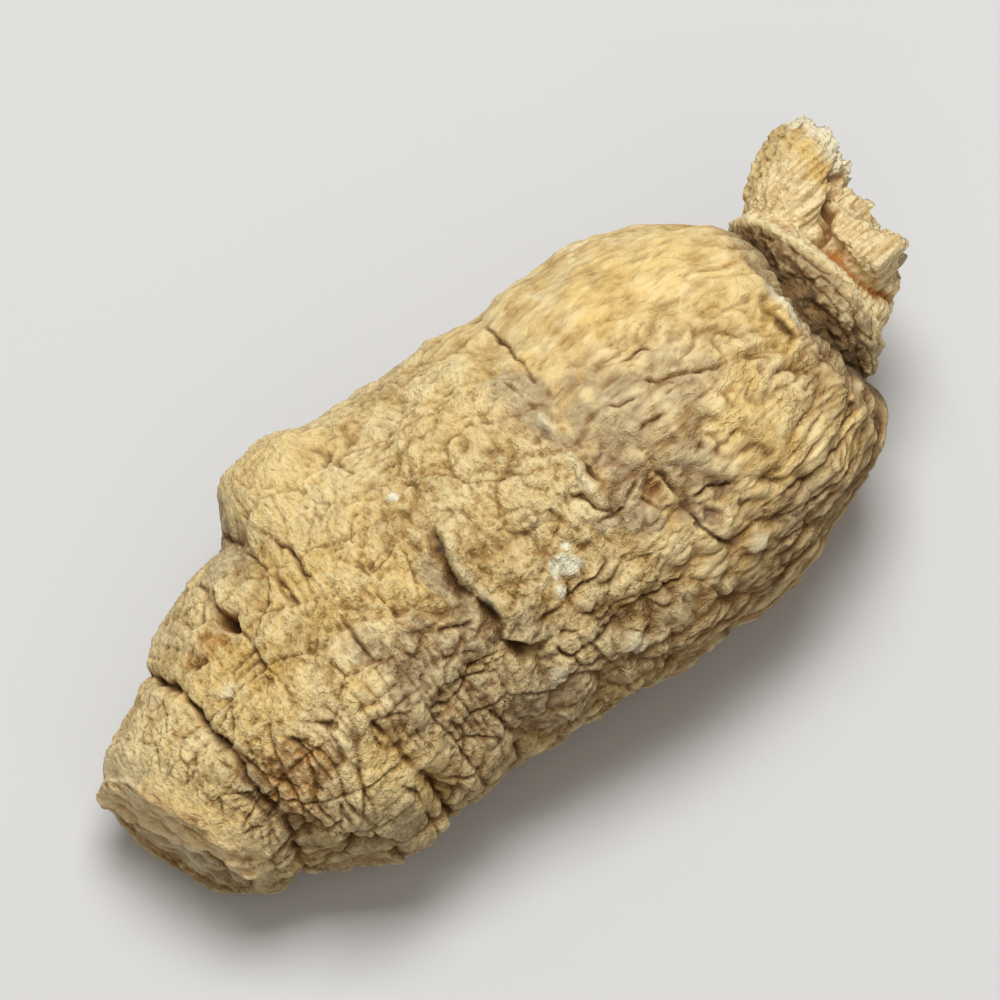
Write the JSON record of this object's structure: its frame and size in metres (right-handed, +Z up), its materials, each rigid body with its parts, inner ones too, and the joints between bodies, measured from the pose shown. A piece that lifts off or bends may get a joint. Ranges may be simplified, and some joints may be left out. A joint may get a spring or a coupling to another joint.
{
  "type": "dried ginseng root",
  "caption": "Chunky dried root lying on its side, with ring grooves, drying wrinkles, a cut tail and the stump of a broken neck at the crown.",
  "frame": {"origin": "the middle of the underside of the bounding box, on the surface that the root lies on", "axes": "+X runs along the root from the cut tail to the crown, +Y to the side that the neck stump leans to, +Z up"},
  "size_m": [0.06, 0.0262, 0.0226],
  "materials": {
    "dried_root_skin": "matte, dry and wrinkled"
  },
  "bodies": {
    "root": {"ginseng_root": "dried_root_skin"}
  },
  "joints": []
}
